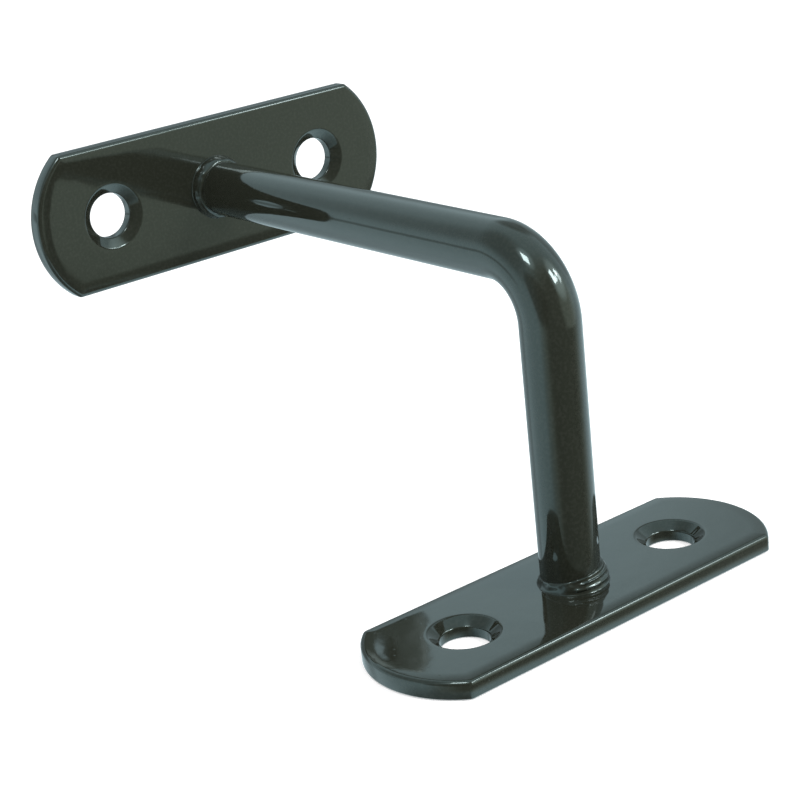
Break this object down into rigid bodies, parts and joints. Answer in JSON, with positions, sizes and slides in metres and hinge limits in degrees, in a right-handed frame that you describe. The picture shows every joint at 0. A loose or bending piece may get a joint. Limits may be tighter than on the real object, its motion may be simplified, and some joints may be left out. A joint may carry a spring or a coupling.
{
  "type": "handrail bracket",
  "caption": "Fixed handrail bracket: a round bar bent square between a wall plate and a rail plate, each of flat bar with convex ends and countersunk screw holes.",
  "frame": {"origin": "centre of the wall plate's back face, on the wall, midway between its screw holes", "axes": "+Y into the wall, square to it; X along both plates; +Z away from the rail plate. The arm runs out along -Y and then along -Z, so the rail plate is below as pictured. On a wall it is usually turned the other way up, with the rail plate under the handrail."},
  "size_m": [0.075, 0.1005, 0.0675],
  "materials": {
    "enamel": "glossy dark green-black enamel on steel, smooth, a little wavy",
    "weld_enamel": "the same enamel over the ridges of a weld bead"
  },
  "bodies": {
    "root": {"wall_plate": "enamel", "rail_plate": "enamel", "arm": "enamel", "wall_weld": "weld_enamel", "rail_weld": "weld_enamel"}
  },
  "joints": []
}
